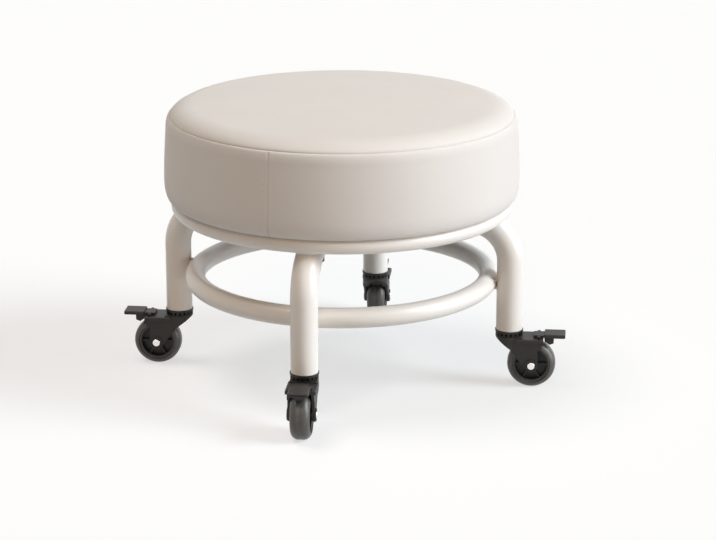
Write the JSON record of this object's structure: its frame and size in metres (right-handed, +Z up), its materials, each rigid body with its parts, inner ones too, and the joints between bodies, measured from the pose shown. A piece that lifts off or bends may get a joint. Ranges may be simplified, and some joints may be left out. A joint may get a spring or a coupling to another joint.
{
  "type": "rolling stool",
  "caption": "Low round stool with a padded leather-covered seat on a welded tube frame with a ring brace, rolling on braked swivel casters.",
  "frame": {"origin": "on the floor under the centre of the seat", "axes": "+Z up along the seat's axis; the four legs stand on the X and Y axes"},
  "size_m": [0.38, 0.38, 0.2391],
  "materials": {
    "cream_enamel": "satin powder coat",
    "leather_cover": "fine-grained coated leather, satin",
    "seat_foam": "open-cell foam",
    "plywood": "raw plywood",
    "dust_cloth": "non-woven cloth",
    "zinc_steel": "zinc plated",
    "bright_steel": "polished",
    "black_steel": "black oxide",
    "black_nylon": "moulded, fine matt texture",
    "charcoal_nylon": "moulded, satin",
    "grey_tread": "soft matt rubber"
  },
  "bodies": {
    "frame": {"caster_stem_back": "black_steel", "caster_stem_front": "black_steel", "caster_stem_left": "black_steel", "caster_stem_right": "black_steel", "leg_back": "cream_enamel", "leg_end_caps": "black_nylon", "leg_front": "cream_enamel", "leg_left": "cream_enamel", "leg_right": "cream_enamel", "lower_ring": "cream_enamel", "seat_board": "plywood", "seat_bolts": "zinc_steel", "seat_dust_cover": "dust_cloth", "seat_foam": "seat_foam", "seat_lower_saddles": "black_nylon", "seat_side_band": "leather_cover", "seat_tee_nuts": "zinc_steel", "seat_top_panel": "leather_cover", "seat_upper_saddles": "black_nylon", "stem_socket_back": "black_nylon", "stem_socket_front": "black_nylon", "stem_socket_left": "black_nylon", "stem_socket_right": "black_nylon", "swivel_balls_back": "zinc_steel", "swivel_balls_front": "zinc_steel", "swivel_balls_left": "zinc_steel", "swivel_balls_right": "zinc_steel", "swivel_collar_back": "black_steel", "swivel_collar_front": "black_steel", "swivel_collar_left": "black_steel", "swivel_collar_right": "black_steel", "upper_ring": "cream_enamel"},
    "fork_right": {"caster_fork_right": "charcoal_nylon", "wheel_axle_right": "bright_steel", "pedal_pin_right": "black_steel"},
    "wheel_right": {"wheel_hub_right": "black_nylon", "wheel_tyre_right": "grey_tread", "wheel_bush_right": "zinc_steel"},
    "pedal_right": {"brake_pedal_right": "charcoal_nylon"},
    "fork_back": {"caster_fork_back": "charcoal_nylon", "wheel_axle_back": "bright_steel", "pedal_pin_back": "black_steel"},
    "wheel_back": {"wheel_hub_back": "black_nylon", "wheel_tyre_back": "grey_tread", "wheel_bush_back": "zinc_steel"},
    "pedal_back": {"brake_pedal_back": "charcoal_nylon"},
    "fork_left": {"caster_fork_left": "charcoal_nylon", "wheel_axle_left": "bright_steel", "pedal_pin_left": "black_steel"},
    "wheel_left": {"wheel_hub_left": "black_nylon", "wheel_tyre_left": "grey_tread", "wheel_bush_left": "zinc_steel"},
    "pedal_left": {"brake_pedal_left": "charcoal_nylon"},
    "fork_front": {"caster_fork_front": "charcoal_nylon", "wheel_axle_front": "bright_steel", "pedal_pin_front": "black_steel"},
    "wheel_front": {"wheel_hub_front": "black_nylon", "wheel_tyre_front": "grey_tread", "wheel_bush_front": "zinc_steel"},
    "pedal_front": {"brake_pedal_front": "charcoal_nylon"}
  },
  "joints": [
    {"name": "swivel_right", "type": "hinge", "parent": "frame", "child": "fork_right", "pos_m": [0.1425, 0, 0.044], "axis": [0, 0, 1], "continuous": true},
    {"name": "roll_right", "type": "hinge", "parent": "fork_right", "child": "wheel_right", "pos_m": [0.16139, 0.00205, 0.02], "axis": [-0.108, 0.9942, 0], "continuous": true},
    {"name": "brake_right", "type": "hinge", "parent": "fork_right", "child": "pedal_right", "pos_m": [0.16735, 0.0027, 0.0436], "axis": [-0.108, 0.9942, 0], "range_deg": [0, 9]},
    {"name": "swivel_back", "type": "hinge", "parent": "frame", "child": "fork_back", "pos_m": [0, 0.1425, 0.044], "axis": [0, 0, 1], "continuous": true},
    {"name": "roll_back", "type": "hinge", "parent": "fork_back", "child": "wheel_back", "pos_m": [-0.00205, 0.16139, 0.02], "axis": [-0.9942, -0.108, 0], "continuous": true},
    {"name": "brake_back", "type": "hinge", "parent": "fork_back", "child": "pedal_back", "pos_m": [-0.0027, 0.16735, 0.0436], "axis": [-0.9942, -0.108, 0], "range_deg": [0, 9]},
    {"name": "swivel_left", "type": "hinge", "parent": "frame", "child": "fork_left", "pos_m": [-0.1425, 0, 0.044], "axis": [0, 0, 1], "continuous": true},
    {"name": "roll_left", "type": "hinge", "parent": "fork_left", "child": "wheel_left", "pos_m": [-0.16139, -0.00205, 0.02], "axis": [0.108, -0.9942, 0], "continuous": true},
    {"name": "brake_left", "type": "hinge", "parent": "fork_left", "child": "pedal_left", "pos_m": [-0.16735, -0.0027, 0.0436], "axis": [0.108, -0.9942, 0], "range_deg": [0, 9]},
    {"name": "swivel_front", "type": "hinge", "parent": "frame", "child": "fork_front", "pos_m": [0, -0.1425, 0.044], "axis": [0, 0, 1], "continuous": true},
    {"name": "roll_front", "type": "hinge", "parent": "fork_front", "child": "wheel_front", "pos_m": [0.00205, -0.16139, 0.02], "axis": [0.9942, 0.108, 0], "continuous": true},
    {"name": "brake_front", "type": "hinge", "parent": "fork_front", "child": "pedal_front", "pos_m": [0.0027, -0.16735, 0.0436], "axis": [0.9942, 0.108, 0], "range_deg": [0, 9]}
  ]
}
